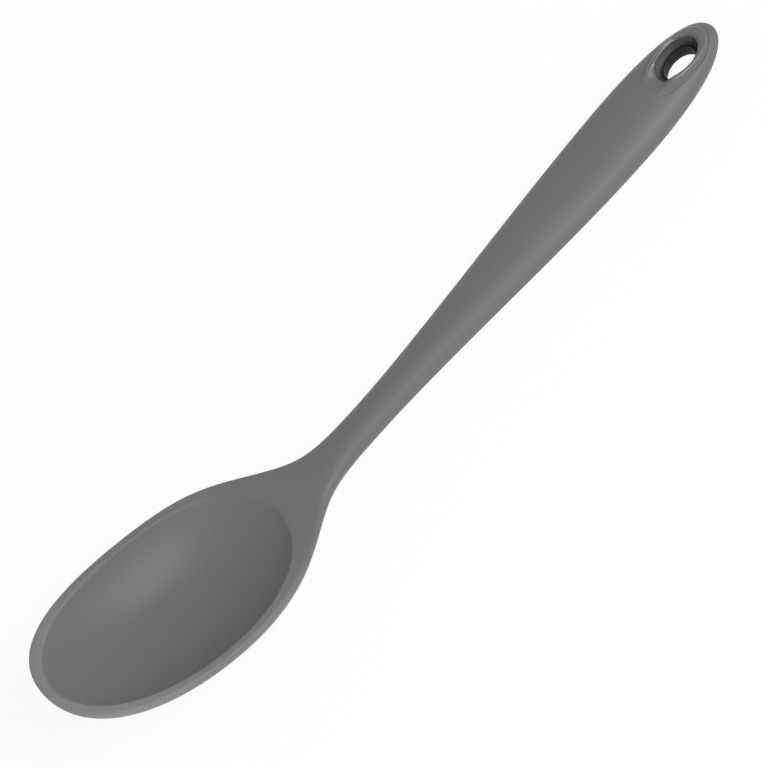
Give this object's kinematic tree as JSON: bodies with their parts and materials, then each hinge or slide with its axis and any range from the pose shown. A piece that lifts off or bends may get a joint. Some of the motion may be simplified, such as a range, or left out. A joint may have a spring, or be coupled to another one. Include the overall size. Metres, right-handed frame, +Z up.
{
  "type": "silicone serving spoon",
  "caption": "Serving spoon with a deep oval bowl, a slim neck and a swelling handle with a hanging eye, moulded in grey silicone over a stiff inner core.",
  "frame": {"origin": "middle of the spoon's box at table height, with the spoon lying on the table bowl up", "axes": "+X from the bowl's tip to the handle's end, +Y to the spoon's left seen from the handle's end, +Z up"},
  "size_m": [0.2936, 0.0566, 0.0428],
  "materials": {
    "silicone": "satin moulded silicone",
    "nylon": "moulded, glass filled",
    "steel": "plain strip"
  },
  "bodies": {
    "root": {"silicone_skin": "silicone", "nylon_core": "nylon", "steel_strip": "steel"}
  },
  "joints": []
}
